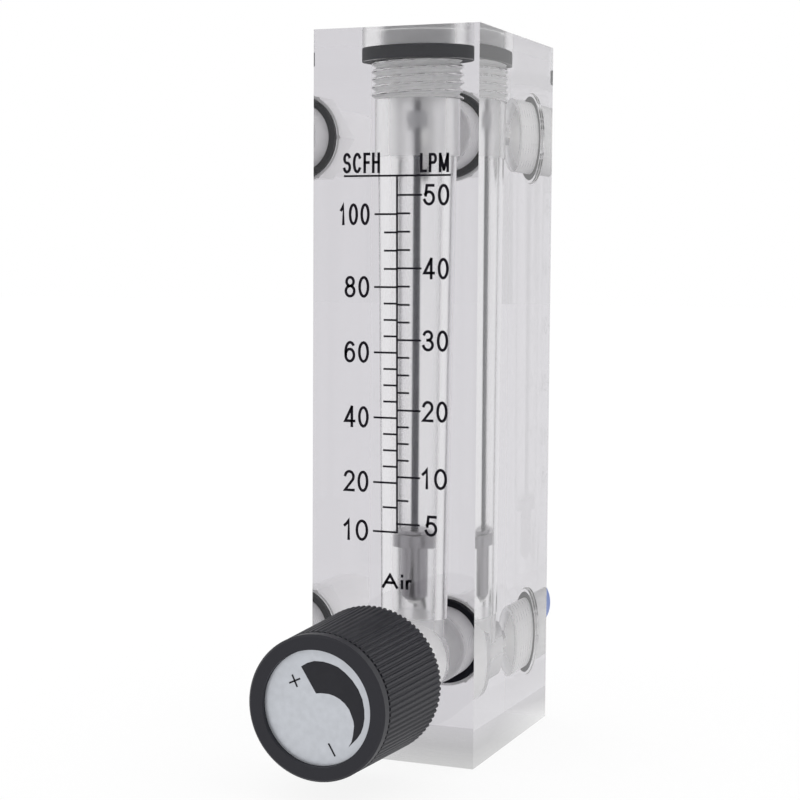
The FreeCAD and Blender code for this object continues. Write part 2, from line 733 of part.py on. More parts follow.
def make_screw():
    body = new_body("knob_screw")
    turn_solid(body, [
        ("0", "0 - screw_head_height"),
        ("screw_head / 2", "0 - screw_head_height"),
        ("screw_head / 2", "0"),
        ("screw_thread / 2", "0"),
        ("screw_thread / 2", "screw_length"),
        ("0", "screw_length"),
    ])
    slot = new_sketch(body, "slot", "XY_Plane", lift="0 - screw_head_height")
    half = "screw_slot / 2"
    long = "screw_head / 2 + cut_margin"
    draw_bar(slot, long, half)
    pocket(body, slot, "screw_head_height / 2", reverse=True)
    place_knob_piece(body, SCREW_SEAT)
    return body


# Push-in fittings: drawn from the block's back face outwards, one set for each port

def place_fitting(body, height, set_out="0"):
    place(body, y=f"{BACK} + {set_out}", z=height, turn=INTO_BLOCK)


def make_fitting(side, height):
    body = new_body(f"{side}_fitting_body")
    head = new_sketch(body, "head", "XY_Plane")
    draw_hexagon(head, "fitting_hex")
    pad(body, head, "fitting_head")
    low = "0 - fitting_thread_length"
    thread = "port_thread / 2"
    barrel = "fitting_barrel / 2"
    turn_solid(body, [
        ("0", low),
        (f"{thread} - fitting_lead", low),
        (thread, f"{low} + fitting_lead"),
        (thread, "0 - port_ring_depth"),
        ("port_ring_bore / 2", "0 - port_ring_depth"),
        ("port_ring_bore / 2", "0"),
        ("fitting_flange / 2", "0"),
        ("fitting_flange / 2", "fitting_flange_height"),
        (barrel, "fitting_flange_height"),
        (barrel, "fitting_length - fitting_bevel"),
        (f"{barrel} - fitting_bevel", "fitting_length"),
        ("0", "fitting_length"),
    ], "barrel")
    gland_end = "gland_low + gland_length"
    above = "fitting_length + cut_margin"
    turn_cut(body, [
        ("0", f"{low} - cut_margin"),
        ("fitting_mouth / 2", f"{low} - cut_margin"),
        ("fitting_mouth / 2", low),
        ("fitting_bore / 2", f"{low} + fitting_mouth_depth"),
        ("fitting_bore / 2", "tube_stop"),
        (TUBE_BORE, "tube_stop"),
        (TUBE_BORE, "gland_low"),
        ("gland_bore / 2", "gland_low"),
        ("gland_bore / 2", gland_end),
        ("collet_room / 2", gland_end),
        ("collet_room / 2", "collet_room_end"),
        ("collet_throat / 2", "fitting_length"),
        ("collet_throat / 2", above),
        ("0", above),
    ], "bore")
    place_fitting(body, height)
    return body


def make_collet(side, height):
    """Tube grip: a flange outside the fitting and slit legs with a barb inside it."""
    body = new_body(f"{side}_collet")
    bore = f"{TUBE_BORE} + seat_gap"
    leg = "collet_leg / 2"
    flange_top = f"{COLLET_FLANGE_LOW} + collet_flange_height"
    turn_solid(body, [
        (bore, "collet_low"),
        (leg, "collet_low"),
        ("collet_barb / 2", "collet_low + collet_barb_length / 2"),
        ("collet_barb / 2", "collet_low + collet_barb_length"),
        (leg, "collet_low + collet_barb_length"),
        (leg, COLLET_FLANGE_LOW),
        ("collet_flange / 2", COLLET_FLANGE_LOW),
        ("collet_flange / 2", flange_top),
        (bore, flange_top),
    ])
    slit = new_sketch(body, "slit", "XY_Plane", lift="collet_low")
    half = "collet_slit / 2"
    far = "collet_barb / 2 + cut_margin"
    draw_outline(slit, [("0", f"0 - {half}"), (far, f"0 - {half}"), (far, half), ("0", half)])
    round_pattern(body, pocket(body, slit, "collet_slit_length", reverse=True), "collet_slit_count")
    place_fitting(body, height)
    return body


def make_clip(side, height, opening_turn):
    """Locking clip: a flat C that snaps round the collet between its flange and the fitting."""
    body = new_body(f"{side}_locking_clip")
    disc = new_sketch(body, "disc", "XY_Plane")
    draw_circle(disc, "clip_diameter / 2")
    draw_circle(disc, "collet_leg / 2 + clip_gap")
    pad(body, disc, "clip_thickness")
    gap = new_sketch(body, "opening", "XY_Plane")
    half = "clip_opening / 2"
    far = "clip_diameter / 2 + cut_margin"
    draw_outline(gap, [("0", f"0 - {half}"), (far, f"0 - {half}"), (far, half), ("0", half)])
    pocket(body, gap, "clip_thickness", reverse=True)
    turn = INTO_BLOCK.multiply(FreeCAD.Rotation(FreeCAD.Vector(0, 0, 1), opening_turn))
    place(body, y=f"{BACK} + {CLIP_LOW}", z=height, turn=turn)
    return body


def make_port(side, height, opening_turn):
    ring = seal_ring(f"{side}_port_o_ring", "port_ring_bore", "port_ring_outside", "port_ring_depth")
    place_fitting(ring, height, "0 - port_ring_depth")
    tube_ring_bore = f"(2 * {TUBE_BORE} + 2 * seat_gap)"
    tube_ring_height = "(gland_length - 2 * seat_gap)"
    tube_ring = seal_ring(f"{side}_tube_o_ring", tube_ring_bore, "gland_bore", tube_ring_height)
    place_fitting(tube_ring, height, "gland_low + seat_gap")
    return [
        make_fitting(side, height),
        ring,
        tube_ring,
        make_collet(side, height),
        make_clip(side, height, opening_turn),
    ]


def make_meter():
    plug_ring = seal_ring("top_plug_o_ring", "plug_ring_bore", "plug_ring_outside", "plug_ring_height")
    place(plug_ring, y=TUBE_PLACE, z=PLUG_SEAL_LOW)
    pieces = [
        make_block(),
        make_plug(),
        plug_ring,
        make_rod(),
        rod_sleeve("rod_top_stop", "top_stop_diameter", TOP_STOP_LOW, "top_stop_height"),
        rod_sleeve("rod_end_stop", "end_stop_diameter", "rod_end", "end_stop_height"),
        make_float(),
        make_cartridge(),
        make_gasket(),
        make_stem(),
        make_stem_ring(),
        make_knob(),
        make_disc(),
        make_screw(),
    ]
    pieces += make_port("upper", UPPER_PORT_HEIGHT, 0)
    pieces += make_port("lower", "valve_height", -90)
    return pieces


def write_pieces(pieces):
    doc.recompute()
    for item in doc.Objects:
        if "Invalid" in item.State or "Error" in item.State:
            sys.exit(f"{item.Name} failed: {item.State}")
    for piece in pieces:
        if piece.Shape.isNull() or not piece.Shape.isValid() or len(piece.Shape.Solids) != 1:
            sys.exit(f"{piece.Label} is not one valid solid")
    os.makedirs("parts", exist_ok=True)
    for piece in pieces:
        piece.Shape.exportStep(f"parts/{piece.Label}.step")
        box = piece.Shape.BoundBox
        print(f"{piece.Label:22s} {box.XLength:7.2f} {box.YLength:7.2f} {box.ZLength:7.2f} mm")


write_pieces(make_meter())
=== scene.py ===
import math

import bmesh
import bpy
from mathutils import Matrix, Vector


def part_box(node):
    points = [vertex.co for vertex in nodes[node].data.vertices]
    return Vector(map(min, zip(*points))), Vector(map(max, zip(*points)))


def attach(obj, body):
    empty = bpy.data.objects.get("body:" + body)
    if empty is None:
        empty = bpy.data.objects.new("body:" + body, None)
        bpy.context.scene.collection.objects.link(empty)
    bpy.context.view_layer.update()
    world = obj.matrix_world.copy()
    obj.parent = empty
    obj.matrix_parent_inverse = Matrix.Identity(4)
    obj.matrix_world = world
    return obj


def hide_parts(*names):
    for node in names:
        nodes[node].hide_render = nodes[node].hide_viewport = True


# Variable-area flow meter: the clear block, its threads and print, and the finishes. Sizes are in millimetres
# in the frame's own axes, and metres are used only where Blender needs them.

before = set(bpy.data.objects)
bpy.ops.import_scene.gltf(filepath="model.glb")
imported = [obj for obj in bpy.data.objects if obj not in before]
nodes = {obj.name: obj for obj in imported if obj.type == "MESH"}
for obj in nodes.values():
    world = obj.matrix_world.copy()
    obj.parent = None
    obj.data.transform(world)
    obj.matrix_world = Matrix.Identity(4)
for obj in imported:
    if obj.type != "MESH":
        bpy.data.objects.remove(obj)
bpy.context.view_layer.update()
MM = 0.001


def box_mm(node):
    low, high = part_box(node)
    return low / MM, high / MM


def middle_mm(node):
    low, high = box_mm(node)
    return (low + high) / 2


# Places read from the frame

BLOCK_LOW, BLOCK_HIGH = box_mm("meter_body")
FRONT_Y = BLOCK_LOW.y
BACK_Y = BLOCK_HIGH.y
BLOCK_DEPTH = BACK_Y - FRONT_Y
TOP_Z = BLOCK_HIGH.z
TUBE_Y = middle_mm("guide_rod").y
VALVE_Z = middle_mm("lower_fitting_body").z
UPPER_PORT_Z = middle_mm("upper_fitting_body").z
PLUG_END_Z = box_mm("top_plug")[0].z
PLUG_RING_LOW_Z = box_mm("top_plug_o_ring")[0].z
DISC_FACE_Y = box_mm("knob_disc")[0].y

# Bores of the block, and the threads and seals in them. What presses against the acrylic reaches into it by
# the touch depth, so that it shows through. The ports' drill end and seat are depths behind the front face.

TOUCH = 0.02
TUBE_FLOOR_Z = 18.0
TAPER_START_Z = 23.3
TUBE_INLET_R = 5.6
TUBE_LOW_R = 6.05
TAPER_END_Z = TOP_Z - 21.2
TUBE_HIGH_R = 7.1
CHAMBER_R = 7.65
PLUG_THREAD_R = 8.33
PLUG_RECESS_R = 10.05
PLUG_HEAD_R = 9.8
PLUG_HEAD_DEPTH = 2.5
PLUG_GROOVE_Z = TOP_Z - PLUG_HEAD_DEPTH
PLUG_SLOT = 2.0
PLUG_SLOT_DEPTH = 1.3
PIPE_PITCH = 1.337
PIPE_THREAD_DEPTH = 0.856
PLUG_ROOT_R = PLUG_THREAD_R - PIPE_THREAD_DEPTH
CREST_GAP = 0.14
CARTRIDGE_THREAD_R = 6.95
WIDE_ROOM_R = 7.0
WIDE_ROOM_DEPTH = 15.0
CARTRIDGE_THREAD_LENGTH = 13.0
NOSE_R = 4.95
NOSE_END_DEPTH = 23.3
PILOT_R = 2.5
PORT_DEPTH = 11.0
PORT_DRILL_END = BLOCK_DEPTH - PORT_DEPTH
PORT_DRILL_R = 5.7
PORT_DRILL_TIP = 2.2
PORT_THREAD_R = 6.58
PORT_ROOT_R = PORT_THREAD_R - PIPE_THREAD_DEPTH
PORT_RING_RECESS_R = 8.2
PORT_RING_DEPTH = 1.0
PORT_SEAT = BLOCK_DEPTH - PORT_RING_DEPTH
PORT_RING_R = 7.85
PORT_RING_INNER_R = 6.3
PORT_RING_ROUNDING = 0.25
PORT_THREAD_RUN_IN = 0.5
PLUG_RING_INNER_R = 7.6
PLUG_RING_ROUNDING = 0.12
UPPER_PASSAGE_R = 2.0
CUT_MARGIN = 1.0
FINE_TURNS = 192

# Roughness that the tools leave: in the tube from each height up, and in the two drilled passages, each one
# given by its axis's height, from a place in Y to its port.

TUBE_FROST = [(TUBE_FLOOR_Z, 0.55), (TAPER_START_Z, 0.23), (TAPER_END_Z, 0.42), (PLUG_END_Z, 0.35)]
DRILL_FROST = 0.55
DRILLED = [(UPPER_PORT_Z, 3.0), (VALVE_Z, -8.0)]


# Mesh steps

def link(name, mesh):
    piece = bpy.data.objects.new(name, mesh)
    bpy.context.scene.collection.objects.link(piece)
    return piece


def as_piece(name, shape):
    mesh = bpy.data.meshes.new(name)
    shape.to_mesh(mesh)
    shape.free()
    return link(name, mesh)


def smooth(mesh, degrees=30):
    mesh.shade_smooth()
    mesh.set_sharp_from_angle(angle=math.radians(degrees))


def turned(name, corners, place, turns=FINE_TURNS):
    """A closed mesh turned from (radius, height) corners about the local Z axis, then put in place.
    A radius may also be a function of the angle."""
    shape = bmesh.new()
    rings = []
    for radius, height in corners:
        if radius == 0:
            rings.append([shape.verts.new(place @ Vector((0, 0, height)) * MM)])
            continue
        ring = []
        for i in range(turns):
            angle = 2 * math.pi * i / turns
            reach = radius(angle) if callable(radius) else radius
            spot = Vector((reach * math.cos(angle), reach * math.sin(angle), height))
            ring.append(shape.verts.new(place @ spot * MM))
        rings.append(ring)
    for low, high in zip(rings, rings[1:] + rings[:1]):
        if len(low) == len(high) == 1:
            continue
        for i in range(turns):
            a, b = low[i % len(low)], low[(i + 1) % len(low)]
            c, d = high[(i + 1) % len(high)], high[i % len(high)]
            shape.faces.new(list(dict.fromkeys((a, b, c, d))))
    bmesh.ops.recalc_face_normals(shape, faces=shape.faces)
    return as_piece(name, shape)


def thread_rows(root, crest, pitch, start, end, flat=0.12, rows=12):
    """Rows of a right-hand thread between two heights. Root and crest are the smallest and largest radius."""
    count = max(2, round((end - start) / pitch * rows))

    def row(height):
        def reach(angle):
            phase = (height / pitch - angle / (2 * math.pi)) % 1
            rise = (abs(2 * phase - 1) - flat) / (1 - 2 * flat)
            return root + (crest - root) * min(1, max(0, rise))
        return reach, height

    return [row(start + (end - start) * i / count) for i in range(count + 1)]


def block_box(name, low, high):
    shape = bmesh.new()
    bmesh.ops.create_cube(shape, size=1)
    size = Matrix.Diagonal((*(high - low), 1))
    shape.transform(Matrix.Scale(MM, 4) @ Matrix.Translation((low + high) / 2) @ size)
    return as_piece(name, shape)


def settle(piece):
    """Turn a piece with modifiers into a plain mesh object of the same name."""
    bpy.context.view_layer.update()
    name = piece.name
    mesh = bpy.data.meshes.new_from_object(piece.evaluated_get(bpy.context.evaluated_depsgraph_get()))
    mesh.transform(piece.matrix_world)
    bpy.data.objects.remove(piece)
    mesh.name = name
    return link(name, mesh)


def carve(piece, cutters):
    for cutter in cutters:
        cut = piece.modifiers.new("cut", "BOOLEAN")
        cut.operation = "DIFFERENCE"
        cut.solver = "EXACT"
        cut.object = cutter
    piece = settle(piece)
    for cutter in cutters:
        bpy.data.objects.remove(cutter)
    smooth(piece.data)
    return piece


def join(name, pieces):
    shape = bmesh.new()
    for piece in pieces:
        shape.from_mesh(piece.data)
        bpy.data.objects.remove(piece)
    return as_piece(name, shape)


def along_tube():
    return Matrix.Translation((0, TUBE_Y, 0))


def into_block(y, z):
    """Local Z runs from front to back."""
    return Matrix.Translation((0, y, z)) @ Matrix.Rotation(-math.pi / 2, 4, "X")


# Acrylic block

def tube_cutter():
    above = TOP_Z + CUT_MARGIN
    return turned("tube_cutter", [
        (0, TUBE_FLOOR_Z),
        (TUBE_INLET_R, TUBE_FLOOR_Z),
        (TUBE_INLET_R, TAPER_START_Z),
        (TUBE_LOW_R, TAPER_START_Z),
        (TUBE_HIGH_R, TAPER_END_Z),
        (CHAMBER_R, TAPER_END_Z),
        (CHAMBER_R, PLUG_END_Z),
    ] + plug_thread_rows() + [
        (PLUG_RECESS_R, PLUG_RING_LOW_Z),
        (PLUG_RECESS_R, above),
        (0, above),
    ], along_tube())


def plug_thread_rows():
    return thread_rows(PLUG_ROOT_R, PLUG_THREAD_R, PIPE_PITCH, PLUG_END_Z, PLUG_RING_LOW_Z)


def port_thread_rows(start, end):
    return thread_rows(PORT_ROOT_R, PORT_THREAD_R, PIPE_PITCH, start, end)


def pressed_in(rows, largest):
    """Rows of a thread that touches the acrylic on its flanks and leaves a gap along its crest."""
    def squeeze(reach):
        return lambda angle: min(reach(angle) + TOUCH, largest - CREST_GAP)
    return [(squeeze(reach), height) for reach, height in rows]


def port_steps(passage):
    """Corners of a back port, as depths behind the front face."""
    return [
        (passage, PORT_DRILL_END - PORT_DRILL_TIP),
        (PORT_DRILL_R, PORT_DRILL_END),
    ] + port_thread_rows(PORT_DRILL_END, PORT_SEAT) + [
        (PORT_RING_RECESS_R, PORT_SEAT),
        (PORT_RING_RECESS_R, BLOCK_DEPTH + CUT_MARGIN),
        (0, BLOCK_DEPTH + CUT_MARGIN),
    ]


def lower_cutter():
    thread = CARTRIDGE_THREAD_R - TOUCH
    return turned("lower_cutter", [
        (0, -CUT_MARGIN),
        (thread, -CUT_MARGIN),
        (thread, CARTRIDGE_THREAD_LENGTH),
        (WIDE_ROOM_R, CARTRIDGE_THREAD_LENGTH),
        (WIDE_ROOM_R, WIDE_ROOM_DEPTH),
        (NOSE_R, WIDE_ROOM_DEPTH),
        (NOSE_R, NOSE_END_DEPTH),
        (PILOT_R, NOSE_END_DEPTH),
    ] + port_steps(PILOT_R), into_block(FRONT_Y, VALVE_Z))


def upper_cutter():
    start = TUBE_Y - FRONT_Y
    corners = [(0, start), (UPPER_PASSAGE_R, start)] + port_steps(UPPER_PASSAGE_R)
    return turned("upper_cutter", corners, into_block(FRONT_Y, UPPER_PORT_Z))


def make_block():
    block = block_box("clear_block", BLOCK_LOW, BLOCK_HIGH)
    block = carve(block, [tube_cutter(), lower_cutter(), upper_cutter()])
    frost(block.data)
    finish(block, "block", "acrylic", acrylic(), "meter_body")


def frost(mesh):
    """Give the faces that a tool leaves matt their roughness."""
    mark = mesh.attributes.new("frost", "FLOAT", "FACE")
    for face in mesh.polygons:
        x, y, z = (value / MM for value in face.center)
        if math.hypot(x, y - TUBE_Y) < PLUG_RECESS_R + TOUCH:
            for start, roughness in TUBE_FROST:
                if start - TOUCH < z < TOP_Z - TOUCH:
                    mark.data[face.index].value = roughness
        for axis_z, start in DRILLED:
            near = math.hypot(x, z - axis_z) < WIDE_ROOM_R + TOUCH
            if near and start < y < BACK_Y - PORT_RING_DEPTH:
                mark.data[face.index].value = DRILL_FROST


# Pieces that press against the acrylic

def make_plug():
    plug = turned("threaded_plug", [
        (0, PLUG_END_Z),
        (PLUG_ROOT_R, PLUG_END_Z),
    ] + pressed_in(plug_thread_rows(), PLUG_THREAD_R) + [
        (PLUG_ROOT_R, PLUG_RING_LOW_Z),
        (PLUG_ROOT_R, PLUG_GROOVE_Z),
        (PLUG_HEAD_R, PLUG_GROOVE_Z),
        (PLUG_HEAD_R, TOP_Z),
        (0, TOP_Z),
    ], along_tube())
    reach = PLUG_HEAD_R + CUT_MARGIN
    low = Vector((-reach, TUBE_Y - PLUG_SLOT / 2, TOP_Z - PLUG_SLOT_DEPTH))
    high = Vector((reach, TUBE_Y + PLUG_SLOT / 2, TOP_Z + CUT_MARGIN))
    plug = carve(plug, [block_box("slot", low, high)])
    finish(plug, "block", "frosted_plastic", PLASTIC["plug"], "top_plug")
    # Painted shade: the head above the seal groove takes a darker copy of the plug plastic.
    plug.data.materials.append(PLASTIC["plug_head"])
    for face in plug.data.polygons:
        face.material_index = int(face.center.z > PLUG_GROOVE_Z * MM)


def rounded_ring(name, inner, outer, low, high, place, round_by, steps=5):
    """A ring of rounded rectangular section."""
    near, far = inner + round_by, outer - round_by
    bottom, top = low + round_by, high - round_by
    corners = []
    turns = [(far, bottom, -90), (far, top, 0), (near, top, 90), (near, bottom, 180)]
    for centre_r, centre_h, start in turns:
        for i in range(steps + 1):
            angle = math.radians(start + 90 * i / steps)
            corners.append((centre_r + round_by * math.cos(angle), centre_h + round_by * math.sin(angle)))
    ring = turned(name, corners, place)
    smooth(ring.data)
    return ring


def make_rings():
    ring = rounded_ring("plug_seal", PLUG_RING_INNER_R, PLUG_RECESS_R + TOUCH,
                        PLUG_RING_LOW_Z - TOUCH, PLUG_GROOVE_Z, along_tube(), PLUG_RING_ROUNDING)
    finish(ring, "block", "black_rubber", PLASTIC["rubber"], "top_plug_o_ring")
    for side, z in (("upper", UPPER_PORT_Z), ("lower", VALVE_Z)):
        ring = rounded_ring(f"{side}_port_seal", PORT_RING_INNER_R, PORT_RING_R,
                            PORT_SEAT - TOUCH, BLOCK_DEPTH, into_block(FRONT_Y, z), PORT_RING_ROUNDING)
        finish(ring, "block", "black_rubber", PLASTIC["rubber"], f"{side}_port_o_ring")
        inner = PORT_ROOT_R - TOUCH
        first = PORT_DRILL_END + PORT_THREAD_RUN_IN
        rows = pressed_in(port_thread_rows(first, PORT_SEAT), PORT_THREAD_R)
        corners = [(inner, first)] + rows + [(inner, PORT_SEAT)]
        sleeve = turned(f"{side}_port_thread", corners, into_block(FRONT_Y, z))
        smooth(sleeve.data)
        finish(sleeve, "block", "white_plastic", PLASTIC["white"])


# Print on the front face. Its places are measured from the face's middle line and the block's base.

INK = 0.03
LINE = 0.33
SPINE_TOP_X = 0.46
SPINE_LOW_X = 0.85
HEAD_LINE_Z = 100.1
SPINE_LOW_Z = 39.45
HEAD_LINE_X = (-9.29, 10.14)
LEFT_MARKS = [(10, 39.6), (20, 48.05), (80, 81.35), (100, 93.65)]
LEFT_LABELS = (10, 20, 40, 60, 80, 100)
LEFT_LONG_X = -3.6
LEFT_SHORT_X = -1.82
LEFT_LABEL_X = (-9.1, -4.5)
WIDE_LABEL_X = (-10.0, -4.5)
LEFT_LABEL_HALF = 1.85
RIGHT_MARKS = [(5, 41.05), (10, 49.1), (20, 60.5), (35, 78.4), (50, 96.85)]
RIGHT_LABELS = (5, 10, 20, 30, 40, 50)
RIGHT_LONG_X = 5.0
RIGHT_SHORT_X = 2.9
RIGHT_LABEL_X = (5.3, 9.9)
NARROW_LABEL_X = (6.0, 8.2)
RIGHT_LABEL_HALF = 1.8
WORDS = [
    ("SCFH", -9.49, -2.65, 100.56, 104.02),
    ("LPM", 4.59, 9.8, 100.58, 103.8),
    ("Air", -1.89, 3.67, 29.88, 32.42),
]


def between(marks, value):
    """The height of a scale value, by straight steps between the marked ones."""
    for (low, low_z), (high, high_z) in zip(marks, marks[1:]):
        if low <= value <= high:
            return low_z + (high_z - low_z) * (value - low) / (high - low)


def flat_shape(name, outline):
    """A thin printed shape from (x, z) corners, on the front face."""
    shape = bmesh.new()
    corners = [shape.verts.new(Vector((x, FRONT_Y - INK, z)) * MM) for x, z in outline]
    face = shape.faces.new(corners)
    made = bmesh.ops.extrude_face_region(shape, geom=[face])["geom"]
    moved = [v for v in made if isinstance(v, bmesh.types.BMVert)]
    bmesh.ops.translate(shape, verts=moved, vec=(0, 2 * INK * MM, 0))
    bmesh.ops.recalc_face_normals(shape, faces=shape.faces)
    return as_piece(name, shape)


def bar(x_low, x_high, z):
    half = LINE / 2
    return flat_shape("bar", [(x_low, z - half), (x_high, z - half), (x_high, z + half), (x_low, z + half)])


def curve(x, z, wide, high, first, last, steps=14):
    """Points on an oval arc between two angles in degrees."""
    turns = [math.radians(first + (last - first) * i / steps) for i in range(steps + 1)]
    return [(x + wide * math.cos(turn), z + high * math.sin(turn)) for turn in turns]


def oval(x, z, wide, high):
    return curve(x, z, wide, high, 0, 360, 24)


# Centre lines of the printed characters in a unit box, with each one's width as a share of its height. A line
# that ends where it starts is closed.

LETTERS = {
    "0": (0.60, [oval(0.5, 0.5, 0.5, 0.5)]),
    "1": (0.30, [[(0, 0.73), (0.5, 0.83), (1, 1), (1, 0)]]),
    "2": (0.60, [curve(0.5, 0.72, 0.5, 0.28, 165, -35) + [(0, 0), (1, 0)]]),
    "3": (0.60, [curve(0.45, 0.765, 0.45, 0.235, 160, -90), curve(0.47, 0.265, 0.53, 0.265, 95, -165)]),
    "4": (0.64, [[(1, 0.26), (0, 0.26), (0.72, 1)], [(0.74, 1), (0.74, 0)]]),
    "5": (0.60, [[(0.93, 1), (0.2, 1), (0.08, 0.48)], curve(0.46, 0.33, 0.54, 0.33, 140, -160)]),
    "6": (0.60, [curve(0.54, 0.5, 0.54, 0.5, 50, 195), oval(0.5, 0.32, 0.5, 0.32)]),
    "8": (0.60, [oval(0.5, 0.77, 0.42, 0.23), oval(0.5, 0.27, 0.5, 0.27)]),
    "S": (0.72, [curve(0.5, 0.75, 0.45, 0.25, 25, 250) + curve(0.5, 0.26, 0.5, 0.26, 70, -160)]),
    "C": (0.78, [curve(0.5, 0.5, 0.5, 0.5, 40, 320)]),
    "F": (0.60, [[(0, 0), (0, 1), (1, 1)], [(0, 0.52), (0.85, 0.52)]]),
    "H": (0.70, [[(0, 0), (0, 1)], [(1, 0), (1, 1)], [(0, 0.53), (1, 0.53)]]),
    "L": (0.56, [[(0, 1), (0, 0), (1, 0)]]),
    "P": (0.66, [[(0, 0), (0, 1)] + curve(0.6, 0.75, 0.4, 0.25, 90, -90) + [(0, 0.5)]]),
    "M": (0.82, [
        [(0, 0), (0, 1)],
        [(0.04, 0.91), (0.48, 0.09)],
        [(0.52, 0.09), (0.96, 0.91)],
        [(1, 1), (1, 0)],
    ]),
    "A": (0.92, [[(0, 0), (0.5, 1), (1, 0)], [(0.2, 0.36), (0.8, 0.36)]]),
    "i": (0.13, [[(0.5, 0), (0.5, 0.54)], [(0.5, 0.98), (0.5, 1)]]),
    "r": (0.36, [[(0, 0), (0, 0.54)], [(0, 0.34), (0.2, 0.54), (0.5, 0.62), (0.85, 0.61)]]),
}
LETTER_GAP = 0.15
GAP_AFTER_ONE = 0.27
PEN = 0.48
SAME_SPOT = 1e-6
SHARPEST_CORNER = 0.3


def ribbon(name, points, width):
    """A printed line of even width along (x, z) points, with square ends unless it is closed."""
    closed = (Vector(points[0]) - Vector(points[-1])).length < SAME_SPOT
    spots = [Vector(point) for point in (points[:-1] if closed else points)]
    if not closed:
        spots[0] = spots[0] + (spots[0] - spots[1]).normalized() * width / 2
        spots[-1] = spots[-1] + (spots[-1] - spots[-2]).normalized() * width / 2
    count = len(spots)
    shape = bmesh.new()
    rows = []
    for i, spot in enumerate(spots):
        before = spots[i - 1] if closed or i else None
        after = spots[(i + 1) % count] if closed or i < count - 1 else None
        ends = [(a, b) for a, b in ((before, spot), (spot, after)) if a is not None and b is not None]
        ways = [(b - a).normalized() for a, b in ends]
        sides = [Vector((-way.y, way.x)) for way in ways]
        side = sum(sides, Vector((0, 0))).normalized()
        aside = side * min(width / 2 / max(side.dot(sides[0]), SHARPEST_CORNER), width)
        rows.append([shape.verts.new(Vector((x, y, z)) * MM) for (x, z), y in (
            (spot + aside, FRONT_Y - INK),
            (spot - aside, FRONT_Y - INK),
            (spot - aside, FRONT_Y + INK),
            (spot + aside, FRONT_Y + INK),
        )])
    for i in range(count if closed else count - 1):
        near, far = rows[i], rows[(i + 1) % count]
        for k in range(4):
            shape.faces.new((near[k], near[(k + 1) % 4], far[(k + 1) % 4], far[k]))
    if not closed:
        shape.faces.new(rows[0])
        shape.faces.new(rows[-1][::-1])
    bmesh.ops.recalc_face_normals(shape, faces=shape.faces)
    return as_piece(name, shape)


def word(text, low_x, high_x, low_z, high_z):
    """Printed characters that fill a measured box."""
    gaps = [GAP_AFTER_ONE if letter == "1" else LETTER_GAP for letter in text[:-1]] + [0]
    whole = sum(LETTERS[letter][0] for letter in text) + sum(gaps)
    unit = (high_x - low_x) / whole
    pieces = []
    x = low_x
    for letter, gap in zip(text, gaps):
        width, lines = LETTERS[letter]
        inner_x = max(0, width * unit - PEN)
        inner_z = high_z - low_z - PEN
        for line in lines:
            points = [(x + PEN / 2 + u * inner_x, low_z + PEN / 2 + v * inner_z) for u, v in line]
            pieces.append(ribbon("letter", points, PEN))
        x += (width + gap) * unit
    return join("word", pieces)


def make_scale():
    half = LINE / 2
    spine = (SPINE_TOP_X + SPINE_LOW_X) / 2
    pieces = [bar(*HEAD_LINE_X, HEAD_LINE_Z), flat_shape("spine", [
        (SPINE_LOW_X - half, SPINE_LOW_Z),
        (SPINE_LOW_X + half, SPINE_LOW_Z),
        (SPINE_TOP_X + half, HEAD_LINE_Z),
        (SPINE_TOP_X - half, HEAD_LINE_Z),
    ])]
    for value in range(10, 105, 5):
        z = between(LEFT_MARKS, value)
        labelled = value in LEFT_LABELS
        pieces.append(bar(LEFT_LONG_X if labelled else LEFT_SHORT_X, spine, z))
        if labelled:
            label_x = WIDE_LABEL_X if value == 100 else LEFT_LABEL_X
            pieces.append(word(str(value), *label_x, z - LEFT_LABEL_HALF, z + LEFT_LABEL_HALF))
    for step in range(2, 21):
        value = step * 2.5
        z = between(RIGHT_MARKS, value)
        labelled = value in RIGHT_LABELS
        pieces.append(bar(spine, RIGHT_LONG_X if labelled else RIGHT_SHORT_X, z))
        if labelled:
            label_x = NARROW_LABEL_X if value == 5 else RIGHT_LABEL_X
            pieces.append(word(f"{value:g}", *label_x, z - RIGHT_LABEL_HALF, z + RIGHT_LABEL_HALF))
    pieces += [word(*place) for place in WORDS]
    finish(join("scale_print", pieces), "block", "black_plastic", ink("scale_ink", (0.006, 0.005, 0.009)))


# Print on the knob's disc. Its places are measured from the knob's axis, on the disc's face.

CRESCENT = [
    (-2.88, 6.29), (-1.8, 6.95), (-0.63, 7.35), (0.9, 7.38), (2.19, 7.15), (3.5, 6.72), (4.62, 6.00),
    (5.9, 4.85), (6.89, 3.55), (7.6, 2.05), (7.94, 0.43), (7.98, -0.9), (7.78, -2.17), (7.38, -3.3),
    (6.76, -4.21), (5.28, -5.79), (5.8, -4.85), (6.06, -3.79), (6.22, -2.33), (6.13, -1.6), (5.87, -0.91),
    (5.4, 0.2), (4.64, 1.08), (3.8, 1.7), (2.89, 2.11), (2.0, 2.34), (1.14, 2.36), (0.4, 2.34),
    (-0.29, 2.22),
]
PLUS = (-3.99, 3.90)
PLUS_REACH = 1.05
PLUS_TILT = 25
MINUS = ((1.87, -5.50), (3.02, -7.45))
STROKE = 0.28


def stroke(start, end):
    """A straight printed stroke between two (x, z) points."""
    start, end = Vector(start), Vector(end)
    aside = (end - start).normalized().orthogonal() * STROKE / 2
    return [tuple(start + aside), tuple(end + aside), tuple(end - aside), tuple(start - aside)]


